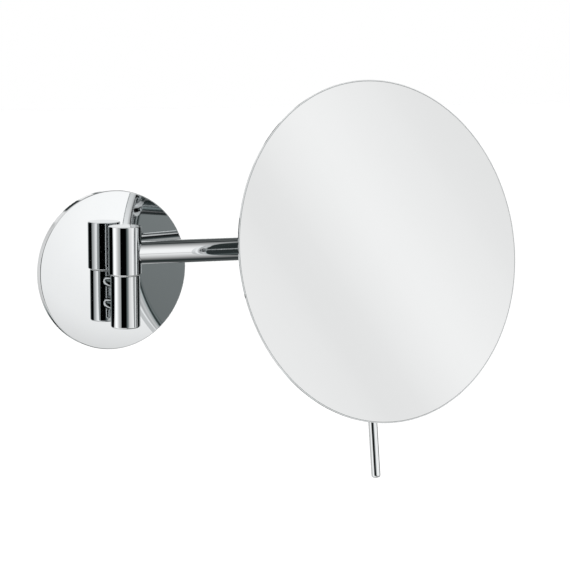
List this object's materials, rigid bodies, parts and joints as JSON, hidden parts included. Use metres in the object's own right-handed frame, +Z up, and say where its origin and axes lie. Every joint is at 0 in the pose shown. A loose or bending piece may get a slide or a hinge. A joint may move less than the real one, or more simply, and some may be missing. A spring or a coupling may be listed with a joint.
{
  "type": "extendable shaving mirror",
  "caption": "Round shaving mirror on a swinging wall arm: polished plate with a stepped hinge post, one tube arm, and a tilting, swivelling head with a rod handle.",
  "frame": {"origin": "centre of the wall plate, on the wall", "axes": "+Y into the wall, so the mirror stands out along -Y; +Z up; +X along the wall to the side that the arm lies on"},
  "size_m": [0.2859, 0.0951, 0.2329],
  "materials": {
    "polished_chrome": "mirror polished chrome plate",
    "plain_steel": "zinc plated, hidden",
    "brass": "turned, hidden",
    "bearing_plastic": "dark nylon",
    "foam_tape": "white foam, sticky on both faces",
    "silvered_glass": "silvered float glass"
  },
  "bodies": {
    "wall_mount": {"wall_bracket": "plain_steel", "wall_plate": "polished_chrome", "plate_grub_screw": "plain_steel", "backing_plate": "plain_steel", "post_screws": "plain_steel", "upper_standoff": "polished_chrome", "lower_standoff": "polished_chrome", "hinge_post": "polished_chrome"},
    "arm": {"hinge_sleeve": "polished_chrome", "lower_bush": "bearing_plastic", "upper_bush": "bearing_plastic", "brake_pad": "bearing_plastic", "brake_screw": "plain_steel", "arm_screw": "plain_steel", "arm_root_plug": "brass", "arm_tube": "polished_chrome", "arm_end_plug": "polished_chrome", "tilt_friction_washer": "bearing_plastic", "tilt_spring_washer": "plain_steel", "tilt_nut": "plain_steel"},
    "knuckle": {"tilt_knuckle": "polished_chrome", "knuckle_cap": "polished_chrome", "swivel_washers": "bearing_plastic"},
    "head": {"swivel_pin": "polished_chrome", "hub_fork": "polished_chrome", "hub_disc": "polished_chrome", "fork_screws": "plain_steel", "hub_screws": "plain_steel", "back_shell": "polished_chrome", "mirror_pad": "foam_tape", "mirror_glass": "silvered_glass", "handle_ferrule": "polished_chrome", "handle_rod": "polished_chrome"}
  },
  "joints": [
    {"name": "arm_swing", "type": "hinge", "parent": "wall_mount", "child": "arm", "pos_m": [0, -0.0201, 0.01153], "axis": [0, 0, -1], "range_deg": [-7, 125]},
    {"name": "head_tilt", "type": "hinge", "parent": "arm", "child": "knuckle", "pos_m": [0.14052, -0.04741, 0.01153], "axis": [0.9816, -0.1908, 0], "range_deg": [-20, 40]},
    {"name": "head_swivel", "type": "hinge", "parent": "knuckle", "child": "head", "pos_m": [0.1393, -0.05368, 0.01275], "axis": [0.0358, 0.1839, 0.9823], "range_deg": [-20, 75]}
  ]
}
